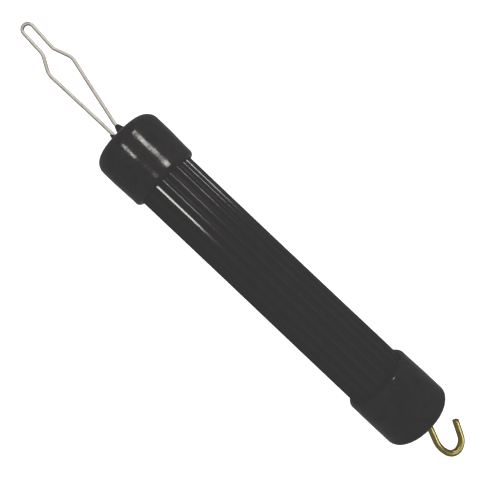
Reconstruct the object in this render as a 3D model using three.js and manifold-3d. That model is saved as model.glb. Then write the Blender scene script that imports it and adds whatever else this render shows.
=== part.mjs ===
// Button hook and zipper pull: a ribbed handle with a steel button loop at one end and a brass
// zipper hook at the other. Millimetres, +Z up. The tool lies on its side: the handle runs along X,
// the loop points to +X and the hook to -X, and both are bent flat in the horizontal plane.
// The origin is under the middle of the whole tool, on the surface that it lies on.
//
// Every piece is drawn in the handle's frame first (x = 0 halfway between the two caps' end faces,
// y = z = 0 on the handle's axis), and the group at the end moves them all to the origin.

import * as THREE from 'three';
import { mergeVertices } from 'three/addons/utils/BufferGeometryUtils.js';
import Module from 'manifold-3d';

const wasm = await Module();
wasm.setup();

// ---------------------------------------------------------------- driving dimensions

const GAP = 0.3; // clearance where one piece sits in or on another
const FINE_GAP = 0.15; // the same, round the small collars

const OVERRUN = 1; // how far a cutter runs past the wall that it cuts
const WELD = 1e-5; // points closer than this are one point

const HANDLE_LENGTH = 126.5; // over both end caps

const GRIP_RADIUS = 10.05; // over the ribs' crowns
const RIB_COUNT = 20;
const RIB_HEIGHT = 0.8;
const RIB_TURN = 5; // degrees from straight up to the nearest crown, towards +Y
const RIB_STEPS = 4; // facets across one rib

const CORE_RADIUS = 7.95;
const CORE_SIDES = 32;

const CAP_SIDES = 32; // one side faces straight down, so that the tool does not roll
const CAP_WALL = 1.5; // thickness of the end wall
const CAP_INNER_CORNER = 1.0; // chamfer between a cap's end wall and its side, inside
const CAP_STRAIGHT = 0.6; // share of a cap's length before its side begins to narrow
const CORNER_STEPS = 5; // facets round a cap's corner
const LIP_STEPS = 4; // facets round its lip
const LOOP_CAP = { radius: 12.1, length: 19.7, cornerRadius: 4.0, mouthRadius: 11.75, lipRadius: 1.4 };
const HOOK_CAP = { radius: 11.8, length: 18.4, cornerRadius: 2.5, mouthRadius: 11.55, lipRadius: 1.0 };

const LOOP_WIRE_RADIUS = 0.55;
const LOOP_TAIL_DEPTH = 22; // of the tails below the cap's end face
const LEFT_TAIL_Y = 1.25;
const RIGHT_TAIL_Y = -1.5;
const LOOP_TIP = { reach: 43.5, y: -4.3, radius: 1.8, lean: 3.8 }; // lean in degrees towards -Y

const COLLARS = {
  left: { y: LEFT_TAIL_Y, baseRadius: 2.1, height: 2.8 },
  right: { y: RIGHT_TAIL_Y, baseRadius: 2.4, height: 3.5 },
};
const COLLAR_TIP_RADIUS = 0.9;
const COLLAR_SKIRT = 0.7; // straight part of a collar under its cone
const COLLAR_SIDES = 16;
const TRIM_BLOCK = 5; // half size of the block that cuts a collar flat

const HOOK_WIRE_RADIUS = 1.03;
const SHANK_Y = -0.4;
const PLAIN_SHANK = 4; // length of the shank below the cap's end face that has no thread
const SHANK_OVERLAP = 0.5; // the plain shank runs this far into the threaded part
const SHANK_DEPTH = 17; // of the screw's point below the cap's end face
const SCREW_SIDES = 12;
const SCREW_POINT_RADIUS = 0.25;
const THREAD = { majorRadius: 1.3, minorRadius: 0.9, pitch: 1.2, turns: 10 };
const POINT_FULLNESS = 0.45; // size of the turn nearest the point, as a share of a full one
const FULLNESS_STEP = 0.2; // how much of that share each turn gains

const WIRE_SIDES = 12;
const BEND_STEP = 10; // degrees between two sections of a wire on a bend

// ---------------------------------------------------------------- bent wires

const flat = (x, y) => new THREE.Vector3(x, y, 0);

// Points along a circular arc in the horizontal plane, both ends included.
function arcPoints(centre, radius, fromAngle, toAngle) {
  const stepAngle = THREE.MathUtils.degToRad(BEND_STEP);
  const steps = Math.max(2, Math.ceil(Math.abs(toAngle - fromAngle) / stepAngle));
  const points = [];
  for (let i = 0; i <= steps; i++) {
    const angle = fromAngle + ((toAngle - fromAngle) * i) / steps;
    points.push(flat(centre.x + radius * Math.cos(angle), centre.y + radius * Math.sin(angle)));
  }
  return points;
}

// Rounds a corner of the wire: the arc of the given radius that touches both straight stretches.
function bendPoints(before, corner, after, radius) {
  const back = before.clone().sub(corner).normalize();
  const ahead = after.clone().sub(corner).normalize();
  const halfAngle = back.angleTo(ahead) / 2;
  const middle = back.clone().add(ahead).normalize();
  const centre = corner.clone().addScaledVector(middle, radius / Math.sin(halfAngle));
  const start = corner.clone().addScaledVector(back, radius / Math.tan(halfAngle)).sub(centre);
  const end = corner.clone().addScaledVector(ahead, radius / Math.tan(halfAngle)).sub(centre);
  const fromAngle = Math.atan2(start.y, start.x);
  let sweep = Math.atan2(end.y, end.x) - fromAngle;
  sweep = Math.atan2(Math.sin(sweep), Math.cos(sweep));
  return arcPoints(centre, radius, fromAngle, fromAngle + sweep);
}

// A wire's centreline: straight from corner to corner, and rounded at each inner one by its bend.
function bentLine(corners) {
  const at = corners.map(([x, y]) => flat(x, y));
  const points = [at[0]];
  for (let i = 1; i < at.length - 1; i++) {
    points.push(...bendPoints(at[i - 1], at[i], at[i + 1], corners[i][2]));
  }
  points.push(at[at.length - 1]);
  return points;
}

// A path with one section at each of its points, so that straight stretches take no extra ones.
class SectionPath extends THREE.Curve {
  constructor(points) {
    super();
    this.points = points;
  }

  getPoint(t) {
    return this.points[Math.round(t * (this.points.length - 1))].clone();
  }

  getPointAt(u) {
    return this.getPoint(u);
  }

  getTangentAt(u) {
    const last = this.points.length - 1;
    const i = Math.round(u * last);
    const tangent = new THREE.Vector3();
    if (i > 0) tangent.add(this.points[i].clone().sub(this.points[i - 1]).normalize());
    if (i < last) tangent.add(this.points[i + 1].clone().sub(this.points[i]).normalize());
    return tangent.normalize();
  }
}

function roundSection(radius, sides) {
  const shape = new THREE.Shape();
  for (let i = 0; i < sides; i++) {
    const angle = (2 * Math.PI * i) / sides;
    const point = [radius * Math.cos(angle), radius * Math.sin(angle)];
    if (i === 0) shape.moveTo(...point);
    else shape.lineTo(...point);
  }
  shape.closePath();
  return shape;
}

function wireGeometry(points, radius) {
  const path = new SectionPath(points);
  return new THREE.ExtrudeGeometry(roundSection(radius, WIRE_SIDES), {
    steps: points.length - 1,
    bevelEnabled: false,
    extrudePath: path,
  });
}

// ---------------------------------------------------------------- turned and cut shapes

// Turns a closed profile of [x, radius] points about the handle's axis, or about a line beside it.
// Half a side of turn puts a flat side straight down.
function turned(profile, sides, y = 0) {
  const points = profile.map(([x, radius]) => new THREE.Vector2(radius, x));
  const geometry = new THREE.LatheGeometry(points, sides);
  geometry.rotateY(Math.PI / sides);
  geometry.rotateZ(-Math.PI / 2);
  geometry.translate(0, y, 0);
  return geometry;
}

// The radius that a many-sided turned shape needs so that its flat sides lie at the given radius.
const cornerRadiusFor = (radius, sides) => radius / Math.cos(Math.PI / sides);

function bore(x0, x1, y, radius) {
  const r = cornerRadiusFor(radius, WIRE_SIDES);
  return turned([[x0, 0], [x0, r], [x1, r], [x1, 0]], WIRE_SIDES, y);
}

function block(x0, x1, y0, y1, halfHeight) {
  const geometry = new THREE.BoxGeometry(x1 - x0, y1 - y0, 2 * halfHeight);
  geometry.translate((x0 + x1) / 2, (y0 + y1) / 2, 0);
  return geometry;
}

function solid(geometry) {
  const bare = geometry.index ? geometry.toNonIndexed() : geometry.clone();
  bare.deleteAttribute('normal');
  bare.deleteAttribute('uv');
  const merged = mergeVertices(bare, WELD);
  const vertProperties = new Float32Array(merged.attributes.position.array);
  const index = merged.index.array;
  const kept = [];
  for (let i = 0; i < index.length; i += 3) {
    const [a, b, c] = [index[i], index[i + 1], index[i + 2]];
    if (a !== b && b !== c && c !== a) kept.push(a, b, c);
  }
  const result = new wasm.Manifold(
    new wasm.Mesh({ numProp: 3, vertProperties, triVerts: new Uint32Array(kept) }),
  );
  return result.volume() < 0 ? flipped(vertProperties, kept) : result;
}

function flipped(vertProperties, index) {
  const turnedOver = index.slice();
  for (let i = 0; i < turnedOver.length; i += 3) {
    [turnedOver[i + 1], turnedOver[i + 2]] = [turnedOver[i + 2], turnedOver[i + 1]];
  }
  return new wasm.Manifold(
    new wasm.Mesh({ numProp: 3, vertProperties, triVerts: new Uint32Array(turnedOver) }),
  );
}

function toGeometry(manifold) {
  const { vertProperties, triVerts } = manifold.getMesh();
  const geometry = new THREE.BufferGeometry();
  geometry.setAttribute('position', new THREE.BufferAttribute(vertProperties, 3));
  geometry.setIndex(new THREE.BufferAttribute(triVerts, 1));
  geometry.computeVertexNormals();
  return geometry;
}

function joined(...geometries) {
  return toGeometry(geometries.map(solid).reduce((whole, next) => whole.add(next)));
}

function cut(geometry, ...cutters) {
  return toGeometry(cutters.map(solid).reduce((whole, next) => whole.subtract(next), solid(geometry)));
}

// ---------------------------------------------------------------- where things are on the axis

const loopFace = HANDLE_LENGTH / 2; // end face of the cap at the loop end
const hookFace = -HANDLE_LENGTH / 2; // end face of the cap at the hook end
const innerEnd = HANDLE_LENGTH / 2 - CAP_WALL - GAP; // where the core ends, under a cap's end wall
const gripEnd = innerEnd - CAP_INNER_CORNER; // where the sleeve ends

const fromLoopFace = (reach, y, bend) => [loopFace + reach, y, bend];
const fromHookFace = (reach, y, bend) => [hookFace - reach, y, bend];

// ---------------------------------------------------------------- handle

// The core: a round wooden rod, drilled for the loop's two tails and for the hook's screw.
function coreDowel() {
  const radius = cornerRadiusFor(CORE_RADIUS, CORE_SIDES);
  const rod = turned([[-innerEnd, 0], [-innerEnd, radius], [innerEnd, radius], [innerEnd, 0]], CORE_SIDES);
  const tailBore = LOOP_WIRE_RADIUS + GAP;
  const tailEnd = loopFace - LOOP_TAIL_DEPTH - GAP;
  const screwEnd = hookFace + SHANK_DEPTH + GAP;
  return cut(
    rod,
    bore(tailEnd, innerEnd + OVERRUN, LEFT_TAIL_Y, tailBore),
    bore(tailEnd, innerEnd + OVERRUN, RIGHT_TAIL_Y, tailBore),
    bore(-innerEnd - OVERRUN, screwEnd, SHANK_Y, THREAD.majorRadius + GAP),
  );
}

// The sleeve's section: rounded ribs side by side, each an arc between two valleys.
function ribbedSection() {
  const pitch = (2 * Math.PI) / RIB_COUNT;
  const valleyRadius = GRIP_RADIUS - RIB_HEIGHT;
  const halfChord = valleyRadius * Math.sin(pitch / 2);
  const rise = GRIP_RADIUS - valleyRadius * Math.cos(pitch / 2);
  const ribRadius = (halfChord ** 2 + rise ** 2) / (2 * rise);
  const halfSweep = Math.atan2(halfChord, ribRadius - rise);
  const shape = new THREE.Shape();
  for (let rib = 0; rib < RIB_COUNT; rib++) {
    const towards = rib * pitch - THREE.MathUtils.degToRad(RIB_TURN);
    for (let step = 0; step < RIB_STEPS; step++) {
      const angle = towards + halfSweep * ((2 * step) / RIB_STEPS - 1);
      const x = (GRIP_RADIUS - ribRadius) * Math.cos(towards) + ribRadius * Math.cos(angle);
      const y = (GRIP_RADIUS - ribRadius) * Math.sin(towards) + ribRadius * Math.sin(angle);
      if (rib === 0 && step === 0) shape.moveTo(x, y);
      else shape.lineTo(x, y);
    }
  }
  shape.closePath();
  const hollow = roundSection(cornerRadiusFor(CORE_RADIUS + GAP, CORE_SIDES), CORE_SIDES);
  shape.holes.push(new THREE.Path(hollow.getPoints().reverse()));
  return shape;
}

function ribbedGrip() {
  const geometry = new THREE.ExtrudeGeometry(ribbedSection(), { depth: 2 * gripEnd, bevelEnabled: false });
  geometry.translate(0, 0, -gripEnd);
  geometry.rotateY(Math.PI / 2);
  return geometry;
}

// A slip-on cap, drawn with its end face at x = 0 and its mouth at x = -length: a round-cornered
// cup whose side narrows a little towards a rolled lip.
function capGeometry({ radius, length, cornerRadius, mouthRadius, lipRadius }) {
  const scale = cornerRadiusFor(1, CAP_SIDES);
  const cavityRadius = GRIP_RADIUS + GAP;
  const outer = [[0, 0]];
  for (let i = 0; i <= CORNER_STEPS; i++) {
    const angle = (Math.PI / 2) * (i / CORNER_STEPS);
    outer.push([cornerRadius * (Math.cos(angle) - 1), radius - cornerRadius * (1 - Math.sin(angle))]);
  }
  outer.push([-CAP_STRAIGHT * length, radius]);
  for (let i = 0; i <= LIP_STEPS; i++) {
    const angle = (Math.PI / 2) * (i / LIP_STEPS);
    outer.push([lipRadius * (1 - Math.sin(angle)) - length, mouthRadius - lipRadius * (1 - Math.cos(angle))]);
  }
  const inner = [
    [-length, cavityRadius],
    [-CAP_WALL - CAP_INNER_CORNER, cavityRadius],
    [-CAP_WALL, cavityRadius - CAP_INNER_CORNER],
    [-CAP_WALL, 0],
  ];
  return turned([...outer, ...inner].map(([x, r]) => [x, r * scale]), CAP_SIDES);
}

function loopEndCap() {
  const cap = capGeometry(LOOP_CAP);
  cap.translate(loopFace, 0, 0);
  const hole = LOOP_WIRE_RADIUS + GAP;
  return cut(
    cap,
    bore(loopFace - CAP_WALL - OVERRUN, loopFace + OVERRUN, LEFT_TAIL_Y, hole),
    bore(loopFace - CAP_WALL - OVERRUN, loopFace + OVERRUN, RIGHT_TAIL_Y, hole),
  );
}

function hookEndCap() {
  const cap = capGeometry(HOOK_CAP);
  cap.rotateY(Math.PI);
  cap.translate(hookFace, 0, 0);
  const hole = bore(hookFace - OVERRUN, hookFace + CAP_WALL + OVERRUN, SHANK_Y, HOOK_WIRE_RADIUS + GAP);
  return cut(cap, hole);
}

// ---------------------------------------------------------------- button loop and its collars

// One wire: up out of the core on the right, out to the wide shoulder, in to the neck, round the
// finger's tip and back down on the left. Each corner is [reach past the cap, y, bend radius].
function loopLine() {
  const lean = THREE.MathUtils.degToRad(LOOP_TIP.lean);
  const across = { x: Math.sin(lean), y: Math.cos(lean) };
  const tip = flat(loopFace + LOOP_TIP.reach, LOOP_TIP.y);
  const right = bentLine([
    fromLoopFace(-LOOP_TAIL_DEPTH, RIGHT_TAIL_Y),
    fromLoopFace(4.15, RIGHT_TAIL_Y, 4),
    fromLoopFace(27.8, -7.4, 4.8),
    fromLoopFace(33.9, -5.35, 3.8),
    [tip.x - LOOP_TIP.radius * across.x, tip.y - LOOP_TIP.radius * across.y],
  ]);
  const left = bentLine([
    [tip.x + LOOP_TIP.radius * across.x, tip.y + LOOP_TIP.radius * across.y],
    fromLoopFace(34.9, -1.85, 4),
    fromLoopFace(29.4, 1.45, 5.9),
    fromLoopFace(13.9, LEFT_TAIL_Y, 8),
    fromLoopFace(-LOOP_TAIL_DEPTH, LEFT_TAIL_Y),
  ]);
  const start = -Math.PI / 2 - lean;
  const round = arcPoints(tip, LOOP_TIP.radius, start, start + Math.PI);
  return [...right.slice(0, -1), ...round, ...left.slice(1)];
}

// A small cone round one leg. The two stand side by side, so each is cut flat where they meet.
function collarGeometry({ y, baseRadius, height }, side) {
  const foot = loopFace + FINE_GAP;
  const cone = turned(
    [
      [foot, 0],
      [foot, baseRadius],
      [foot + COLLAR_SKIRT, baseRadius],
      [loopFace + height, COLLAR_TIP_RADIUS],
      [loopFace + height, 0],
    ],
    COLLAR_SIDES,
    y,
  );
  const meeting = (COLLARS.left.y - COLLARS.left.baseRadius + COLLARS.right.y + COLLARS.right.baseRadius) / 2;
  const cutFace = meeting + (side * FINE_GAP) / 2;
  const [y0, y1] = side > 0 ? [cutFace - TRIM_BLOCK, cutFace] : [cutFace, cutFace + TRIM_BLOCK];
  const from = loopFace - OVERRUN;
  const to = loopFace + height + OVERRUN;
  return cut(cone, bore(from, to, y, LOOP_WIRE_RADIUS + FINE_GAP), block(from, to, y0, y1, TRIM_BLOCK));
}

// ---------------------------------------------------------------- zipper hook

// One wire: straight out of the screw, a bend to one side, then round the bowl to a tip cut square.
function hookLine() {
  return bentLine([
    fromHookFace(-PLAIN_SHANK, SHANK_Y),
    fromHookFace(4.3, SHANK_Y, 4.2),
    fromHookFace(10.85, 2.35, 7.4),
    fromHookFace(16.2, 1.05, 2.9),
    fromHookFace(14.9, -4.0, 5.0),
    fromHookFace(8.8, -7.25),
  ]);
}

// The screw: a ridge for each turn of the thread, on a root that tapers over the last turns.
function screwGeometry() {
  const tip = hookFace + SHANK_DEPTH;
  const profile = [[tip, 0], [tip, SCREW_POINT_RADIUS]];
  for (let turn = 0; turn < THREAD.turns; turn++) {
    const fullness = Math.min(1, POINT_FULLNESS + FULLNESS_STEP * turn);
    const x = tip - (turn + 1) * THREAD.pitch;
    profile.push([x + THREAD.pitch / 4, THREAD.minorRadius * fullness]);
    profile.push([x, THREAD.majorRadius * fullness]);
    profile.push([x - THREAD.pitch / 4, THREAD.minorRadius * fullness]);
  }
  const top = hookFace + PLAIN_SHANK - SHANK_OVERLAP;
  profile.push([top, THREAD.minorRadius], [top, 0]);
  return turned(profile.reverse(), SCREW_SIDES, SHANK_Y);
}

function zipperHook() {
  return joined(wireGeometry(hookLine(), HOOK_WIRE_RADIUS), screwGeometry());
}

// ---------------------------------------------------------------- assembly

function finish(color, roughness, metalness) {
  return new THREE.MeshStandardMaterial({ color, roughness, metalness });
}

const blackVinyl = finish(0x1c1b1b, 0.25, 0);
const blackRib = finish(0x1b1a1a, 0.35, 0);
const blackRubber = finish(0x161616, 0.5, 0);
const steel = finish(0xb9b4ab, 0.3, 1);
const brass = finish(0xb79a4a, 0.28, 1);
const wood = finish(0xc9a574, 0.7, 0);

const tool = new THREE.Group();

function place(name, geometry, material) {
  const mesh = new THREE.Mesh(geometry, material);
  mesh.name = name;
  tool.add(mesh);
}

place('core_dowel', coreDowel(), wood);
place('ribbed_grip', ribbedGrip(), blackRib);
place('loop_end_cap', loopEndCap(), blackVinyl);
place('hook_end_cap', hookEndCap(), blackVinyl);
place('button_loop', wireGeometry(loopLine(), LOOP_WIRE_RADIUS), steel);
place('loop_collar_left', collarGeometry(COLLARS.left, 1), blackRubber);
place('loop_collar_right', collarGeometry(COLLARS.right, -1), blackRubber);
place('zipper_hook', zipperHook(), brass);

const extent = new THREE.Box3().setFromObject(tool);
tool.position.set(-(extent.min.x + extent.max.x) / 2, 0, LOOP_CAP.radius);

export default tool;
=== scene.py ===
"""Button hook and zipper pull: the visual model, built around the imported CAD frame.

The handle lies along X with the steel button loop at +X and the brass zipper hook at -X.
Shapes are worked out in millimetres and stored in metres. Everything is one rigid body.
"""

import math

import bmesh
import bpy
from mathutils import Matrix, Vector, noise


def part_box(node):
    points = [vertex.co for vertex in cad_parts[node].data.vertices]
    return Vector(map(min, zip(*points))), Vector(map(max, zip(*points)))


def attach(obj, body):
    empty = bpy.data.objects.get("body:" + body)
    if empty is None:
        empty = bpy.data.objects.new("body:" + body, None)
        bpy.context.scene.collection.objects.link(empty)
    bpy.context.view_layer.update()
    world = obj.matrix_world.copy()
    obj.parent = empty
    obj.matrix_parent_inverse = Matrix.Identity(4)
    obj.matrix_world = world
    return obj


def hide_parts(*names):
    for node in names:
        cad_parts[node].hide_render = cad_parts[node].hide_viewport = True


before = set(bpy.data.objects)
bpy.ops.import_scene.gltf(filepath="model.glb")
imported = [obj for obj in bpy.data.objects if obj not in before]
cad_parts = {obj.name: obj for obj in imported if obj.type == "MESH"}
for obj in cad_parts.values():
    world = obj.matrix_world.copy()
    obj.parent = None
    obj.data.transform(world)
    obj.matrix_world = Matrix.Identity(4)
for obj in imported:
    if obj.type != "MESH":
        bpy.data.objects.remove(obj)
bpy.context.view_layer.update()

MM = 0.001

# ---------------------------------------------------------------- where the CAD says things are

loop_cap_low, loop_cap_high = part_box("loop_end_cap")
hook_cap_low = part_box("hook_end_cap")[0]
grip_low, grip_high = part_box("ribbed_grip")

LOOP_FACE = loop_cap_high.x / MM  # end face of the cap at the loop end
HOOK_FACE = hook_cap_low.x / MM  # end face of the cap at the hook end
AXIS_Z = (loop_cap_low.z + loop_cap_high.z) / 2 / MM

# ---------------------------------------------------------------- driving dimensions, millimetres

GRIP_RADIUS = 10.05  # over the ribs' crowns
RIB_COUNT = 20
RIB_HEIGHT = 0.86
RIB_NARROWING = 0.16  # above 0, the crowns are narrower than the valleys
RIB_TURN = 5.0  # degrees from straight up to the nearest crown, towards +Y
RIB_POINTS = 24  # points across one rib
GRIP_BORE = 8.25
GRIP_RING_SPACING = 2.0
GRIP_WAVE = 0.03  # depth of the slow waves that extrusion leaves in the sleeve
GRIP_FULLER = 0.08  # how much further out its +Y side stands along its whole length
GRIP_SWELL = 0.08  # the same again near the hook end
GRIP_SWELL_RUN = 45  # the swelling grows over this length from the middle towards the hook
GRIP_WAIST = 0.06  # how much its -Y side is drawn in at its waist
GRIP_WAIST_X = -12
GRIP_WAIST_CORE, GRIP_WAIST_REACH = 20, 38  # from there, the waist is full to the first and runs out

CAP_SEGMENTS = 160
DOME_STEPS, CORNER_STEPS, BODY_STEPS, LIP_STEPS = 9, 14, 17, 12
CAP_WALL = 1.5
CAP_CAVITY = 10.3
CAP_MOUTH_BORE = 10.22  # the mouth grips the sleeve a little more closely than the cavity does
CAP_DIMPLE = 0.11  # depth of the unevenness that dip moulding leaves in the vinyl
CAP_OVAL = 0.19  # how much nearer the axis the +Y side of a cap's closed end is

# skew is how much shorter a cap is at its mouth's +Y side and longer at its -Y side, top_skew is how
# much longer it is on top, and full is how much further out its corner stands on one side of it,
# which is full_side: 1 for +Y and -1 for -Y.
LOOP_CAP = dict(
    radius=12.1, length=19.7, corner=4.2, corner_depth=4.0, dome=0.3, mouth=11.75, lip=1.5,
    skew=0.42, top_skew=0.0, full=0.2, full_side=1,
)
HOOK_CAP = dict(
    radius=11.8, length=18.4, corner=2.9, corner_depth=2.1, dome=0.4, mouth=11.6, lip=0.8,
    skew=0.2, top_skew=0.8, full=0.4, full_side=-1,
)

LOOP_WIRE_RADIUS = 0.585
LEFT_TAIL_Y = 1.25
RIGHT_TAIL_Y = -1.5
TAIL_DEPTH = 22
TAIL_HOLE_RADIUS = 0.62
LOOP_CUT_EDGE = 0.08  # rounding of the wire's cut ends
LOOP_WANDER = 0.05  # how far the bent wire strays from its ideal line
LOOP_SPRUNG = 0.1  # how far the loop is sprung towards -Y
WIRE_HELD, WIRE_FREE = 20, 26  # from a cut end, a wire is straight up to here, and free from here on
TIP_REACH, TIP_Y, TIP_RADIUS, TIP_LEAN = 43.46, -4.3, 1.8, 3.8

COLLAR_BORE, COLLAR_TIP = 0.6, 0.85
COLLAR_MEETING_Y = 0.025  # where the two collars press flat against each other
COLLAR_MEETING_GAP = 0.03  # from there to the flat of each
COLLAR_LUMP = 0.12  # depth of its unevenness
COLLAR_SEGMENTS = 48

# narrow is the share by which a collar's -Y side is drawn in to the wire. COLLAR_LOWERING of narrow
# is the share by which the cone is lower half way round: twice that on the -Y side, none on the +Y.
COLLAR_LOWERING = 0.3
LEFT_COLLAR = dict(base=1.75, height=2.8, narrow=0.9, seed=0.0)
RIGHT_COLLAR = dict(base=2.1, height=3.35, narrow=0.0, seed=9.0)

HOOK_WIRE_RADIUS = 1.02
SHANK_Y = -0.4
SHANK_DEPTH = 17
SHANK_HOLE_RADIUS = 1.08
HOOK_CUT_EDGE = 0.12
THREAD_MAJOR, THREAD_MINOR, THREAD_PITCH = 1.3, 0.9, 1.2
THREAD_FLANK = 0.32  # share of the pitch over which the thread rises to its crest
THREAD_TOP = 3.5  # the plain shank goes this far below the cap's end face
THREAD_RUN_OUT, SCREW_POINT_LENGTH, SCREW_POINT_SHARE = 1.6, 4.5, 0.25

WIRE_SEGMENTS = 28


def smoothstep(low, high, value):
    t = min(1.0, max(0.0, (value - low) / (high - low)))
    return t * t * (3 - 2 * t)


# ---------------------------------------------------------------- meshes


def add_piece(name, verts, faces, node, material, sharp=40.0, uvs=None, values=None):
    """Makes a closed mesh from points in millimetres, smooth but for edges sharper than that."""
    mesh = bpy.data.meshes.new(name)
    mesh.from_pydata([(x * MM, y * MM, z * MM) for x, y, z in verts], [], faces)
    if uvs is not None:
        layer = mesh.uv_layers.new(name="UVMap")
        for loop, uv in zip(layer.data, uvs):
            loop.uv = uv
    if values is not None:
        attribute = mesh.attributes.new("crown", "FLOAT", "POINT")
        attribute.data.foreach_set("value", values)
    work = bmesh.new()
    work.from_mesh(mesh)
    bmesh.ops.recalc_face_normals(work, faces=work.faces)
    work.to_mesh(mesh)
    work.free()
    mesh.polygons.foreach_set("use_smooth", [True] * len(mesh.polygons))
    mesh.set_sharp_from_angle(angle=math.radians(sharp))
    mesh.materials.append(material)
    piece = bpy.data.objects.new(name, mesh)
    bpy.context.scene.collection.objects.link(piece)
    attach(piece, "root")
    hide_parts(node)
    return piece


def turned_mesh(rings, segments):
    """Rings of points about the handle's axis joined into faces. A ring may be a single pole."""
    verts, faces, starts = [], [], []
    for ring in rings:
        starts.append(len(verts))
        verts.extend(ring)
    for index in range(len(rings) - 1):
        a, b = starts[index], starts[index + 1]
        count_a, count_b = len(rings[index]), len(rings[index + 1])
        for k in range(segments):
            n = (k + 1) % segments
            if count_a == 1:
                faces.append((a, b + n, b + k))
            elif count_b == 1:
                faces.append((a + k, a + n, b))
            else:
                faces.append((a + k, a + n, b + n, b + k))
    return verts, faces


def closing_faces(last, first, segments):
    """Joins the last ring of a closed profile back to its first one."""
    faces = []
    for k in range(segments):
        n = (k + 1) % segments
        faces.append((last + k, last + n, first + n, first + k))
    return faces


def cut_holes(piece, places, radius, x0, x1):
    """Drills a round hole at each Y place through a piece, between two places on the X axis."""
    for y in places:
        mesh = bpy.data.meshes.new("drill")
        work = bmesh.new()
        size, depth = radius * MM, (x1 - x0) * MM
        bmesh.ops.create_cone(work, cap_ends=True, segments=48, radius1=size, radius2=size, depth=depth)
        middle = Matrix.Translation(((x0 + x1) / 2 * MM, y * MM, AXIS_Z * MM))
        work.transform(middle @ Matrix.Rotation(math.pi / 2, 4, "Y"))
        work.to_mesh(mesh)
        work.free()
        drill = bpy.data.objects.new("drill", mesh)
        bpy.context.scene.collection.objects.link(drill)
        cutter = piece.modifiers.new("drill", "BOOLEAN")
        cutter.object = drill
        cutter.operation = "DIFFERENCE"
        cutter.solver = "EXACT"
        evaluated = piece.evaluated_get(bpy.context.evaluated_depsgraph_get())
        drilled = bpy.data.meshes.new_from_object(evaluated)
        piece.modifiers.clear()
        old = piece.data
        piece.data = drilled
        bpy.data.meshes.remove(old)
        bpy.data.objects.remove(drill)
    piece.data.set_sharp_from_angle(angle=math.radians(35))


# ---------------------------------------------------------------- materials


class Nodes:
    """A short way to write a material's node tree."""

    def __init__(self, name):
        self.material = bpy.data.materials.new(name)
        self.material.use_nodes = True
        self.tree = self.material.node_tree
        self.shader = self.tree.nodes["Principled BSDF"]
        self.coordinates = self.add("ShaderNodeTexCoord")

    def add(self, kind, settings=None, **inputs):
        node = self.tree.nodes.new(kind)
        for key, value in (settings or {}).items():
            setattr(node, key, value)
        for key, value in inputs.items():
            self.feed(node.inputs[key.replace("_", " ")], value)
        return node

    def feed(self, socket, value):
        if isinstance(value, bpy.types.NodeSocket):
            self.tree.links.new(value, socket)
        else:
            socket.default_value = value

    def set(self, **inputs):
        for key, value in inputs.items():
            self.feed(self.shader.inputs[key.replace("_", " ")], value)

    def place(self, scale=(1, 1, 1), source="Object"):
        node = self.add("ShaderNodeMapping", Vector=self.coordinates.outputs[source])
        node.inputs["Scale"].default_value = scale
        return node.outputs["Vector"]

    def noise(self, vector, scale, detail=3.0, roughness=0.55):
        node = self.add("ShaderNodeTexNoise", Vector=vector, Scale=scale, Detail=detail, Roughness=roughness)
        return node.outputs["Fac"]

    def span(self, factor, low, high, start=0.3, end=0.7):
        node = self.add("ShaderNodeMapRange", Value=factor)
        node.inputs["From Min"].default_value = start
        node.inputs["From Max"].default_value = end
        node.inputs["To Min"].default_value = low
        node.inputs["To Max"].default_value = high
        return node.outputs["Result"]

    def math(self, operation, a, b):
        node = self.add("ShaderNodeMath", {"operation": operation})
        self.feed(node.inputs[0], a)
        self.feed(node.inputs[1], b)
        return node.outputs["Value"]

    def ramp(self, factor, *stops):
        node = self.add("ShaderNodeValToRGB", Fac=factor)
        elements = node.color_ramp.elements
        while len(elements) < len(stops):
            elements.new(0.5)
        for element, (position, colour) in zip(elements, stops):
            element.position = position
            element.color = (*colour, 1)
        return node.outputs["Color"]

    def bump(self, height, distance, strength=1.0, normal=None):
        node = self.add("ShaderNodeBump", Height=height, Distance=distance, Strength=strength)
        if normal is not None:
            self.feed(node.inputs["Normal"], normal)
        return node.outputs["Normal"]


def cap_vinyl():
    """Glossy dip-moulded vinyl: near black, uneven gloss, a faint orange peel and fine scuffs."""
    m = Nodes("cap_vinyl")
    where = m.place()
    patches = m.noise(where, 160, 4)
    peel = m.noise(where, 1200, 3)
    scuffs = m.noise(m.place((260, 2600, 2600)), 1, 3)
    colour = m.ramp(patches, (0.3, (0.0145, 0.0135, 0.014)), (0.7, (0.0185, 0.017, 0.0178)))
    gloss = m.span(patches, 0.10, 0.17)
    worn = m.span(scuffs, 0.0, 0.10, 0.58, 0.72)
    m.set(Base_Color=colour, Roughness=m.math("ADD", gloss, worn))
    sheen = m.noise(where, 420, 3, 0.65)
    m.set(IOR=1.45, Specular_IOR_Level=m.span(sheen, 0.2, 0.62, 0.36, 0.64))
    m.set(Normal=m.bump(peel, 0.00004, 0.6, m.bump(patches, 0.00025, 0.25)))
    return m.material


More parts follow.
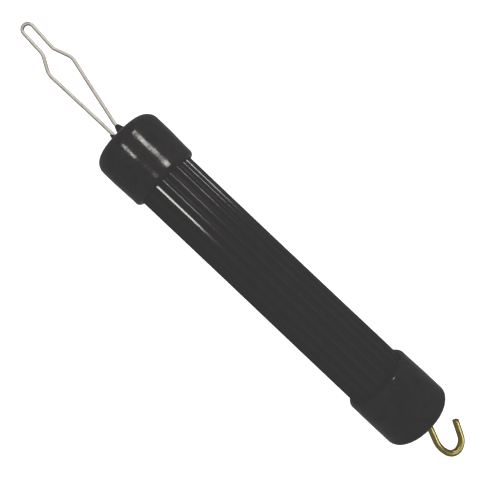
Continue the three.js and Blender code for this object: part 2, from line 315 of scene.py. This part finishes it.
def grip_vinyl():
    """Extruded vinyl: drawn lines along the ribs and a little dust in the valleys. Reflection fades from the
    crowns into the valleys, partly for the dust and partly as painted shade in the valleys.
    """
    m = Nodes("grip_vinyl")
    where = m.place()
    crown = m.add("ShaderNodeAttribute", {"attribute_name": "crown"}).outputs["Fac"]
    patches = m.noise(where, 120, 4)
    drawn = m.noise(m.place((60, 3200, 3200)), 1, 3)
    dust = m.noise(where, 900, 4, 0.7)
    base = m.ramp(patches, (0.3, (0.0145, 0.0135, 0.014)), (0.7, (0.0185, 0.017, 0.0178)))
    valley = m.span(crown, 1.0, 0.0, 0.02, 0.3)
    dusty = m.math("MULTIPLY", valley, m.span(dust, 0.0, 0.35, 0.5, 0.75))
    mixed = m.add("ShaderNodeMix", {"data_type": "RGBA"})
    m.feed(mixed.inputs[0], dusty)
    m.feed(mixed.inputs[6], base)
    mixed.inputs[7].default_value = (0.05, 0.047, 0.045, 1)
    gloss = m.span(drawn, 0.09, 0.14)
    m.set(Base_Color=mixed.outputs[2], Roughness=m.math("ADD", gloss, m.math("MULTIPLY", valley, 0.12)))
    # Reflection fades from the crowns into the valleys. This is partly dust there and partly painted shade,
    # standing in for the shade the ribs throw into the valleys.
    m.set(IOR=1.45, Specular_IOR_Level=m.span(crown, 0.05, 0.42, 0.0, 1.0))
    m.set(Normal=m.bump(drawn, 0.000006, 0.4))
    return m.material


def collar_rubber():
    """Black vinyl drawn up round each wire: matter than the caps, with soft wrinkles."""
    m = Nodes("collar_rubber")
    where = m.place()
    grain = m.noise(where, 2600, 3)
    wrinkle = m.noise(m.place((900, 300, 300)), 1, 2)
    colour = m.ramp(grain, (0.3, (0.011, 0.010, 0.0105)), (0.7, (0.018, 0.0165, 0.017)))
    m.set(Base_Color=colour, Roughness=m.span(grain, 0.32, 0.48), Specular_IOR_Level=0.4)
    m.set(Normal=m.bump(wrinkle, 0.00012, 0.4, m.bump(grain, 0.00002, 0.4)))
    return m.material


def drawn_wire(name, colours, gloss, stain):
    """Drawn metal wire: fine die lines along it, a patchy dull film and small pits."""
    m = Nodes(name)
    where = m.place()
    lines = m.noise(m.place((34, 0.6, 1), "UV"), 1, 4, 0.7)
    film = m.noise(where, 420, 4, 0.6)
    pits = m.noise(where, 5200, 2)
    tone = m.math("ADD", m.math("MULTIPLY", lines, 0.55), m.math("MULTIPLY", film, 0.45))
    base = m.ramp(tone, (0.36, colours[0]), (0.5, colours[1]), (0.66, colours[2]))
    mixed = m.add("ShaderNodeMix", {"data_type": "RGBA"})
    m.feed(mixed.inputs[0], m.span(film, 0.0, 0.55, 0.55, 0.75))
    m.feed(mixed.inputs[6], base)
    mixed.inputs[7].default_value = (*stain, 1)
    rough = m.math("ADD", m.span(lines, gloss[0], gloss[1]), m.span(film, 0.0, 0.12, 0.5, 0.7))
    m.set(Base_Color=mixed.outputs[2], Roughness=rough, Metallic=1.0)
    m.set(Normal=m.bump(lines, 0.000012, 0.5, m.bump(pits, 0.000008, 0.4)))
    return m.material


def core_wood():
    """Plain birch dowel: growth rings cut lengthwise and fine pores along the grain."""
    m = Nodes("core_wood")
    rings = m.add("ShaderNodeTexWave", {"wave_type": "RINGS", "rings_direction": "X"})
    m.feed(rings.inputs["Vector"], m.place((3, 100, 100)))
    m.set(Specular_IOR_Level=0.3)
    rings.inputs["Scale"].default_value = 2.2
    rings.inputs["Distortion"].default_value = 5.0
    rings.inputs["Detail"].default_value = 3.0
    pores = m.noise(m.place((90, 2400, 2400)), 1, 3)
    tone = m.math("ADD", m.math("MULTIPLY", rings.outputs["Fac"], 0.6), m.math("MULTIPLY", pores, 0.4))
    colour = m.ramp(tone, (0.2, (0.50, 0.33, 0.18)), (0.5, (0.63, 0.46, 0.28)), (0.8, (0.74, 0.58, 0.38)))
    m.set(Base_Color=colour, Roughness=m.span(pores, 0.55, 0.75))
    m.set(Normal=m.bump(pores, 0.00003, 0.5))
    return m.material


CAP_VINYL = cap_vinyl()
GRIP_VINYL = grip_vinyl()
COLLAR_RUBBER = collar_rubber()
STEEL = drawn_wire(
    "loop_steel",
    [(0.47, 0.435, 0.39), (0.62, 0.58, 0.53), (0.74, 0.70, 0.65)],
    (0.22, 0.34),
    (0.48, 0.42, 0.36),
)
BRASS = drawn_wire(
    "hook_brass",
    [(0.36, 0.29, 0.08), (0.52, 0.435, 0.14), (0.68, 0.585, 0.22)],
    (0.14, 0.22),
    (0.31, 0.25, 0.09),
)

# ---------------------------------------------------------------- sleeve


def rib_radius(angle):
    """The sleeve's radius at an angle in degrees from straight up, and how near that is to a crown."""
    phase = math.radians(RIB_COUNT * (angle - RIB_TURN))
    crown = (1 + math.cos(phase + RIB_NARROWING * math.sin(phase))) / 2
    return GRIP_RADIUS - RIB_HEIGHT * (1 - crown), crown


def grip_sleeve():
    x0, x1 = grip_low.x / MM, grip_high.x / MM
    rings_count = round((x1 - x0) / GRIP_RING_SPACING)
    segments = RIB_COUNT * RIB_POINTS
    rings, crowns = [], []
    places = [x0 + (x1 - x0) * i / rings_count for i in range(rings_count + 1)]
    for x in places:
        fuller = GRIP_FULLER + GRIP_SWELL * smoothstep(0, GRIP_SWELL_RUN, -x)
        from_waist = abs(x - GRIP_WAIST_X)
        waist = GRIP_WAIST * (1 - smoothstep(GRIP_WAIST_CORE, GRIP_WAIST_REACH, from_waist))
        ring = []
        for k in range(segments):
            angle = 360.0 * k / segments
            radius, crown = rib_radius(angle)
            a = math.radians(angle)
            wave = noise.noise(Vector((x / 17, 2 * math.sin(a), 2 * math.cos(a))))
            radius -= GRIP_WAVE * (0.5 + 0.5 * wave)
            radius += fuller * max(0.0, math.sin(a)) - waist * max(0.0, -math.sin(a))
            ring.append((x, radius * math.sin(a), AXIS_Z + radius * math.cos(a)))
            crowns.append(crown)
        rings.append(ring)
    for x in reversed(places[:: len(places) - 1]):
        bore = []
        for k in range(segments):
            a = 2 * math.pi * k / segments
            bore.append((x, GRIP_BORE * math.sin(a), AXIS_Z + GRIP_BORE * math.cos(a)))
            crowns.append(0.0)
        rings.append(bore)
    verts, faces = turned_mesh(rings, segments)
    faces += closing_faces((len(rings) - 1) * segments, 0, segments)
    return add_piece(
        "grip_sleeve", verts, faces, "ribbed_grip", GRIP_VINYL, sharp=60, values=crowns
    )


sleeve = grip_sleeve()

# ---------------------------------------------------------------- caps


def cap_profile(shape, hole):
    """A cap's outside from its hole over the domed end and the corner to the lip, and its inside back
    from there, as points (depth, radius). Depth grows from the end towards the mouth."""
    radius, length, mouth, lip = shape["radius"], shape["length"], shape["mouth"], shape["lip"]
    corner, corner_depth, dome = shape["corner"], shape["corner_depth"], shape["dome"]
    face_edge = radius - corner
    profile = []
    for i in range(DOME_STEPS):
        share = i / DOME_STEPS
        profile.append((dome * share * share, hole + (face_edge - hole) * share))
    for i in range(CORNER_STEPS + 1):
        a = math.pi / 2 * i / CORNER_STEPS
        profile.append((dome + corner_depth * (1 - math.cos(a)), face_edge + corner * math.sin(a)))
    body_start, body_end = dome + corner_depth, length - lip
    for i in range(1, BODY_STEPS):
        share = i / BODY_STEPS
        waist = (radius - mouth) * smoothstep(0.3, 1.0, share)
        profile.append((body_start + (body_end - body_start) * share, radius - waist))
    for i in range(LIP_STEPS + 1):
        a = math.pi / 2 * i / LIP_STEPS
        profile.append((body_end + lip * math.sin(a), mouth - lip * (1 - math.cos(a))))
    mouth_edge = CAP_MOUTH_BORE + 0.02
    inside = [(length - 0.12, mouth_edge), (length - 0.5, CAP_MOUTH_BORE), (length - 1.6, mouth_edge)]
    inside += [(length - 2.4, CAP_CAVITY), (CAP_WALL + 1.0, CAP_CAVITY)]
    inside += [(CAP_WALL + 0.3, CAP_CAVITY - 0.3), (CAP_WALL, CAP_CAVITY - 1.0), (CAP_WALL, hole)]
    return profile, inside


def end_cap(name, node, face_x, side, shape, hole, hole_y):
    """A soft dip-moulded cap. side is the way its mouth faces along X. hole is the radius of the hole
    in its end, or 0 for none. The outside is uneven and out of round, and the inside is round."""
    outside, inside = cap_profile(shape, hole)
    rings = []
    for index, (depth, radius) in enumerate(outside + inside):
        ring = []
        towards_hole = 1 - smoothstep(hole, shape["radius"] - shape["corner"], radius) if hole else 0
        near_mouth = smoothstep(0.35, 1.0, depth / shape["length"])
        near_corner = smoothstep(4, 8.5, radius) * (1 - smoothstep(1.5, 6, depth))
        for k in range(CAP_SEGMENTS):
            a = 2 * math.pi * k / CAP_SEGMENTS
            y, z = math.sin(a), math.cos(a)
            r = radius
            if index < len(outside):
                soft = noise.noise(Vector((depth / 5.5 + 7 * side, 1.9 * y, 1.9 * z)))
                ripple = noise.noise(Vector((depth / 2.2, 4.5 * y, 4.5 * z + 20 * side)))
                uneven = CAP_DIMPLE * (0.6 + 0.4 * soft + 0.22 * ripple)
                oval = CAP_OVAL * max(0.0, y) ** 2 * (1 - near_mouth)
                r -= (uneven + oval) * smoothstep(2.0, 8.0, radius)
            x = face_x + side * (depth - near_mouth * shape["skew"] * y)
            x += side * near_mouth * shape["top_skew"] * max(0.0, z)
            x -= side * near_corner * shape["full"] * max(0.0, y * shape["full_side"])
            ring.append((x, r * y + hole_y * towards_hole, AXIS_Z + r * z))
        rings.append(ring)
    if not hole:
        outer_pole = [(face_x, 0.0, AXIS_Z)]
        inner_pole = [(face_x + side * CAP_WALL, 0.0, AXIS_Z)]
        rings = [outer_pole] + rings[1:-1] + [inner_pole]
    verts, faces = turned_mesh(rings, CAP_SEGMENTS)
    if hole:
        faces += closing_faces(len(verts) - CAP_SEGMENTS, 0, CAP_SEGMENTS)
    return add_piece(name, verts, faces, node, CAP_VINYL)


loop_cap = end_cap("loop_cap", "loop_end_cap", LOOP_FACE, -1, LOOP_CAP, 0.0, 0.0)
cut_holes(loop_cap, [LEFT_TAIL_Y, RIGHT_TAIL_Y], TAIL_HOLE_RADIUS, LOOP_FACE - 3, LOOP_FACE + 2)
hook_cap = end_cap("hook_cap", "hook_end_cap", HOOK_FACE, 1, HOOK_CAP, SHANK_HOLE_RADIUS, SHANK_Y)

# ---------------------------------------------------------------- wires


def arc_points(centre, radius, start, end):
    steps = max(3, math.ceil(abs(end - start) / math.radians(4)))
    angles = [start + (end - start) * i / steps for i in range(steps + 1)]
    return [centre + Vector((math.cos(a), math.sin(a))) * radius for a in angles]


def bend(before, corner, after, radius):
    back, ahead = (before - corner).normalized(), (after - corner).normalized()
    half = back.angle(ahead) / 2
    centre = corner + (back + ahead).normalized() * (radius / math.sin(half))
    start = corner + back * (radius / math.tan(half)) - centre
    end = corner + ahead * (radius / math.tan(half)) - centre
    from_angle = math.atan2(start.y, start.x)
    sweep = math.atan2(end.y, end.x) - from_angle
    sweep = math.atan2(math.sin(sweep), math.cos(sweep))
    return arc_points(centre, radius, from_angle, from_angle + sweep)


def bent_line(corners):
    """The points of a wire from corner to corner, rounded at each inner corner (x, y, radius)."""
    at = [Vector(corner[:2]) for corner in corners]
    points = [at[0]]
    for i in range(1, len(at) - 1):
        points += bend(at[i - 1], at[i], at[i + 1], corners[i][2])
    return points + [at[-1]]


def evenly(points, spacing):
    """The same line with extra points so that none are further apart than the spacing."""
    line = [points[0]]
    for a, b in zip(points, points[1:]):
        steps = max(1, math.ceil((b - a).length / spacing))
        if (b - a).length > 1e-6:
            line += [a.lerp(b, i / steps) for i in range(1, steps + 1)]
    return line


def wire(name, node, material, line, radius_at, edge, wander=0.0, sprung=0.0, seed=0.0):
    """A round wire along a flat line, with the edges of its cut ends rounded. radius_at(travelled,
    angle) gives its radius. Between its two held ends it wanders a little from the line, and is
    sprung a little to the -Y side of it."""
    travelled, distance = [0.0], 0.0
    for a, b in zip(line, line[1:]):
        distance += (b - a).length
        travelled.append(distance)
    rounding = [(0.0, edge), (0.3 * edge, 0.3 * edge), (edge, 0.0)]
    last = len(line) - 1
    stations = [(0, step, shrink) for step, shrink in rounding]
    stations += [(i, 0.0, 0.0) for i in range(1, last)]
    stations += [(last, -step, shrink) for step, shrink in reversed(rounding)]
    rings, lengths = [], []
    for i, step, shrink in stations:
        along = (line[min(last, i + 1)] - line[max(0, i - 1)]).normalized()
        across = Vector((-along.y, along.x))
        free = smoothstep(WIRE_HELD, WIRE_FREE, min(travelled[i], distance - travelled[i]))
        drift = wander * noise.noise(Vector((travelled[i] / 7 + seed, 0.5, 0.5))) * free
        lift = wander * noise.noise(Vector((travelled[i] / 9 + seed, 8.5, 0.5))) * free
        ring = []
        for k in range(WIRE_SEGMENTS):
            a = 2 * math.pi * k / WIRE_SEGMENTS
            r = radius_at(travelled[i], a) - shrink
            flat = line[i] + along * step + across * (r * math.cos(a) + drift)
            flat.y -= sprung * free
            ring.append((flat.x, flat.y, AXIS_Z + r * math.sin(a) + lift))
        rings.append(ring)
        lengths.append(travelled[i] + step)
    verts, faces = turned_mesh(rings, WIRE_SEGMENTS)
    uvs = []
    for v0, v1 in zip(lengths, lengths[1:]):
        for k in range(WIRE_SEGMENTS):
            u0, u1 = k / WIRE_SEGMENTS, (k + 1) / WIRE_SEGMENTS
            uvs += [(u0, v0), (u1, v0), (u1, v1), (u0, v1)]
    middle = len(verts)
    for ring in (rings[0], rings[-1]):
        verts.append(tuple(sum((Vector(point) for point in ring), Vector()) / WIRE_SEGMENTS))
    start = (len(rings) - 1) * WIRE_SEGMENTS
    for k in range(WIRE_SEGMENTS):
        n = (k + 1) % WIRE_SEGMENTS
        faces.append((middle, n, k))
        faces.append((middle + 1, start + k, start + n))
        uvs += [(0.5, lengths[0])] * 3 + [(0.5, lengths[-1])] * 3
    return add_piece(name, verts, faces, node, material, uvs=uvs)


def loop_line():
    """Up out of the core on the right, out to the wide shoulder, in to the neck, round the finger's
    tip and back down on the left."""
    lean = math.radians(TIP_LEAN)
    tip = Vector((LOOP_FACE + TIP_REACH, TIP_Y))
    across = Vector((math.sin(lean), math.cos(lean))) * TIP_RADIUS
    right = bent_line(
        [
            (LOOP_FACE - TAIL_DEPTH, RIGHT_TAIL_Y),
            (LOOP_FACE + 4.15, RIGHT_TAIL_Y, 4),
            (LOOP_FACE + 27.8, -7.4, 4.8),
            (LOOP_FACE + 33.9, -5.35, 3.8),
            tuple(tip - across),
        ]
    )
    left = bent_line(
        [
            tuple(tip + across),
            (LOOP_FACE + 34.9, -1.85, 4),
            (LOOP_FACE + 29.4, 1.45, 5.9),
            (LOOP_FACE + 13.9, LEFT_TAIL_Y, 8),
            (LOOP_FACE - TAIL_DEPTH, LEFT_TAIL_Y),
        ]
    )
    start = -math.pi / 2 - lean
    return right[:-1] + arc_points(tip, TIP_RADIUS, start, start + math.pi) + left[1:]


def loop_radius(travelled, angle):
    """The same everywhere: the loop is plain wire."""
    return LOOP_WIRE_RADIUS


loop_wire = wire(
    "button_wire",
    "button_loop",
    STEEL,
    evenly(loop_line(), 0.8),
    loop_radius,
    LOOP_CUT_EDGE,
    wander=LOOP_WANDER,
    sprung=LOOP_SPRUNG,
    seed=3.0,
)


def hook_line():
    """Straight out of the screw, a bend to one side, then round the bowl to a tip cut square."""
    bent = bent_line(
        [
            (HOOK_FACE + THREAD_TOP, SHANK_Y),
            (HOOK_FACE - 4.3, SHANK_Y, 4.2),
            (HOOK_FACE - 10.85, 2.35, 7.4),
            (HOOK_FACE - 16.2, 1.05, 2.9),
            (HOOK_FACE - 14.9, -4.0, 5.0),
            (HOOK_FACE - 8.55, -7.4),
        ]
    )
    screw = [Vector((HOOK_FACE + SHANK_DEPTH, SHANK_Y)), bent[0]]
    return evenly(screw, 0.1)[:-1] + evenly(bent, 0.6)


def hook_radius(travelled, angle):
    """Plain wire above the thread, and a real helix below it that runs out to a point."""
    screw_length = SHANK_DEPTH - THREAD_TOP
    if travelled > screw_length:
        return HOOK_WIRE_RADIUS
    turn = (travelled / THREAD_PITCH - angle / (2 * math.pi)) % 1
    ridge = max(0.0, 1 - abs(turn - 0.5) / THREAD_FLANK)
    point = SCREW_POINT_SHARE + (1 - SCREW_POINT_SHARE) * smoothstep(0.0, SCREW_POINT_LENGTH, travelled)
    run_out = smoothstep(0.0, THREAD_RUN_OUT, screw_length - travelled)
    thread = (THREAD_MINOR + (THREAD_MAJOR - THREAD_MINOR) * ridge * run_out) * point
    return thread + (HOOK_WIRE_RADIUS - THREAD_MINOR) * (1 - run_out) * point


hook_wire = wire("hook_wire", "zipper_hook", BRASS, hook_line(), hook_radius, HOOK_CUT_EDGE)

# ---------------------------------------------------------------- collars


def collar(name, node, y, base, height, narrow, seed):
    """The vinyl drawn up into a small cone round one leg of the loop: steep by the wire, and
    spreading out over the cap's end. Where the two cones meet, each is pressed flat."""
    foot = LOOP_FACE + 0.02
    top = LOOP_FACE + height
    profile = [(foot, COLLAR_BORE), (foot, base - 0.2), (foot + 0.12, base)]
    for i in range(1, 11):
        share = i / 10
        profile.append((foot + 0.3 + (top - 0.55 - foot) * share, base + (COLLAR_TIP - base) * share**0.85))
    profile += [(top - 0.08, COLLAR_TIP - 0.06), (top, COLLAR_TIP - 0.18), (top - 0.02, COLLAR_BORE)]
    side = 1 if y > COLLAR_MEETING_Y else -1
    rings = []
    for x, radius in profile:
        ring = []
        for k in range(COLLAR_SEGMENTS):
            a = 2 * math.pi * k / COLLAR_SEGMENTS
            lump = noise.noise(Vector((x / 1.4 + seed, 1.5 * math.sin(a), 1.5 * math.cos(a))))
            r = radius + (COLLAR_LUMP * (lump - 0.6) if radius > COLLAR_BORE + 0.1 else 0.0)
            r -= narrow * max(0.0, r - COLLAR_TIP) * max(0.0, -math.sin(a))
            at_y = y + r * math.sin(a)
            if (at_y - COLLAR_MEETING_Y) * side < COLLAR_MEETING_GAP:
                at_y = COLLAR_MEETING_Y + COLLAR_MEETING_GAP * side
            lowered = 1 - COLLAR_LOWERING * narrow * (1 - math.sin(a))
            ring.append((foot + (x - foot) * lowered, at_y, AXIS_Z + r * math.cos(a)))
        rings.append(ring)
    verts, faces = turned_mesh(rings, COLLAR_SEGMENTS)
    faces += closing_faces(len(verts) - COLLAR_SEGMENTS, 0, COLLAR_SEGMENTS)
    return add_piece(name, verts, faces, node, COLLAR_RUBBER, sharp=50)


collars = [
    collar("collar_left", "loop_collar_left", LEFT_TAIL_Y, **LEFT_COLLAR),
    collar("collar_right", "loop_collar_right", RIGHT_TAIL_Y, **RIGHT_COLLAR),
]

# ---------------------------------------------------------------- core

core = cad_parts["core_dowel"]
wood = core_wood()
core.data.materials.clear()
core.data.materials.append(wood)

# ---------------------------------------------------------------- floor, light and camera

FLOOR_HALF = 3.0  # metres
FLOOR_GLOW = 0.75
FLOOR_IN_GLOSS = 0.2
ROOM_IN_GLOSS = 0.22

DEEPEST_BLACK = 0.0318
BLACK_WARMTH = 0.0016
FILM_TOE = [(0.025, 0.0355), (0.045, 0.048), (0.075, 0.0755)]

CAMERA_LENS, CAMERA_SENSOR = 41.14, 36
CAMERA_SHIFT_X, CAMERA_SHIFT_Y = 0.0604, -0.0569
CAMERA_X, CAMERA_Y, CAMERA_HEIGHT = 10.32, -2.02, 172.76  # millimetres, height above the handle's axis
CAMERA_TURN = 223.38  # degrees about the vertical

WHITE, CREAM, WARM = (1, 1, 1), (1, 0.985, 0.96), (1, 1, 0.91)

# Where the lamps are aimed, in metres.
AT_HANDLE, AT_CAP = (0.02, 0, 0.012), (0.04, 0, 0.012)
AT_LOOP, AT_LOOP_FOOT, AT_HOOK = (0.07, 0, 0.012), (0.06, 0, 0.012), (-0.088, 0, 0.012)


def pale_floor():
    """White paper with a glow of its own, which the glossy surfaces see only dimly."""
    mesh = bpy.data.meshes.new("floor")
    half = FLOOR_HALF
    corners = [(-half, -half, 0), (half, -half, 0), (half, half, 0), (-half, half, 0)]
    mesh.from_pydata(corners, [], [(0, 1, 2, 3)])
    m = Nodes("floor_paper")
    tone = m.noise(m.place(), 3, 2)
    m.set(Base_Color=m.ramp(tone, (0.3, (0.88, 0.88, 0.88)), (0.7, (0.9, 0.9, 0.9))), Roughness=0.9)
    m.set(Specular_IOR_Level=0.0)
    m.shader.inputs["Emission Color"].default_value = (1, 1, 1, 1)
    m.shader.inputs["Emission Strength"].default_value = FLOOR_GLOW
    dim = m.add("ShaderNodeEmission", Color=(1, 1, 1, 1), Strength=FLOOR_IN_GLOSS)
    ray = m.add("ShaderNodeLightPath")
    both = m.add("ShaderNodeMixShader")
    m.feed(both.inputs[0], ray.outputs["Is Glossy Ray"])
    m.feed(both.inputs[1], m.shader.outputs[0])
    m.feed(both.inputs[2], dim.outputs[0])
    m.feed(m.tree.nodes["Material Output"].inputs["Surface"], both.outputs[0])
    mesh.materials.append(m.material)
    floor = bpy.data.objects.new("floor", mesh)
    bpy.context.scene.collection.objects.link(floor)


def soft_box(name, place, target, width, depth, radiance, colour, only):
    """A rectangular soft light of a given brightness: width along X, depth across. Flags keep it
    off everything but the pieces named."""
    light = bpy.data.lights.new(name, "AREA")
    light.shape = "RECTANGLE"
    light.size = width
    light.size_y = depth
    light.energy = radiance * 4 * width * depth
    light.color = colour
    lamp = bpy.data.objects.new(name, light)
    down = (Vector(target) - Vector(place)).normalized()
    right = Vector((1, 0, 0))
    up = right.cross(down).normalized() * -1
    right = down.cross(up).normalized()
    lamp.matrix_world = Matrix((right, up, -down)).transposed().to_4x4()
    lamp.location = place
    bpy.context.scene.collection.objects.link(lamp)
    lit = bpy.data.collections.new(name + "_lit")
    for piece in only:
        lit.objects.link(piece)
    lamp.light_linking.receiver_collection = lit


def studio_world():
    """A white room that the glossy surfaces see only dimly, as behind black flags."""
    world = bpy.data.worlds.new("studio")
    bpy.context.scene.world = world
    world.use_nodes = True
    tree = world.node_tree
    background = tree.nodes["Background"]
    ray = tree.nodes.new("ShaderNodeLightPath")
    dimmer = tree.nodes.new("ShaderNodeMapRange")
    dimmer.inputs["To Min"].default_value = 1.0
    dimmer.inputs["To Max"].default_value = ROOM_IN_GLOSS
    tree.links.new(ray.outputs["Is Glossy Ray"], dimmer.inputs["Value"])
    tree.links.new(dimmer.outputs["Result"], background.inputs["Strength"])
    background.inputs["Color"].default_value = (1, 1, 1, 1)


def film_toe():
    """Printed blacks: the deepest shadows come out as a very dark and slightly warm grey."""
    view = bpy.context.scene.view_settings
    view.view_transform = "Standard"
    view.use_curve_mapping = True
    mapping = view.curve_mapping
    curve = mapping.curves[3]
    for dark, printed in FILM_TOE:
        point = curve.points.new(dark, printed)
        point.handle_type = "VECTOR"
    curve.points[0].location = (0.0, DEEPEST_BLACK)
    for channel in (mapping.curves[0], mapping.curves[2]):
        channel.points[0].location = (0.0, BLACK_WARMTH)
    mapping.update()


def photo_camera():
    """Straight above the tool, turned so that the loop points to the upper left."""
    data = bpy.data.cameras.new("camera")
    data.lens = CAMERA_LENS
    data.sensor_width = CAMERA_SENSOR
    data.shift_x = CAMERA_SHIFT_X
    data.shift_y = CAMERA_SHIFT_Y
    data.clip_start = 0.01
    camera = bpy.data.objects.new("camera", data)
    camera.location = (CAMERA_X * MM, CAMERA_Y * MM, (AXIS_Z + CAMERA_HEIGHT) * MM)
    camera.rotation_euler = (0, 0, math.radians(CAMERA_TURN))
    bpy.context.scene.collection.objects.link(camera)
    bpy.context.scene.camera = camera


loop_end = [loop_cap, *collars]

pale_floor()
soft_box("rib_key", (0.1085, -0.412, 0.476), AT_HANDLE, 0.184, 0.074, 40, WARM, [sleeve])
soft_box("cap_key", (0.124, -0.366, 0.513), AT_HANDLE, 0.24, 0.14, 10.5, WARM, loop_end)
soft_box("lip_key", (0.124, -0.366, 0.513), AT_HANDLE, 0.13, 0.09, 30, WARM, [hook_cap])
soft_box("accent", (0.138, 0.125, 0.52), AT_CAP, 0.057, 0.052, 25, WARM, loop_end)
soft_box("loop_side", (0.235, -0.41, 0.25), AT_LOOP, 0.5, 0.4, 1.1, CREAM, [loop_wire])
soft_box("loop_top", (0.06, 0.05, 0.5), AT_LOOP_FOOT, 1.2, 0.9, 0.48, CREAM, [loop_wire])
soft_box("hook_key", (-0.364, -0.115, 0.285), AT_HOOK, 0.12, 0.18, 2.2, WHITE, [hook_wire])
soft_box("hook_top", (-0.13, -0.07, 0.5), AT_HOOK, 0.3, 0.3, 0.8, WHITE, [hook_wire])
soft_box("hook_fill", (0.28, -0.1, 0.35), AT_HOOK, 0.35, 0.8, 0.75, WHITE, [hook_wire])
studio_world()
photo_camera()
film_toe()
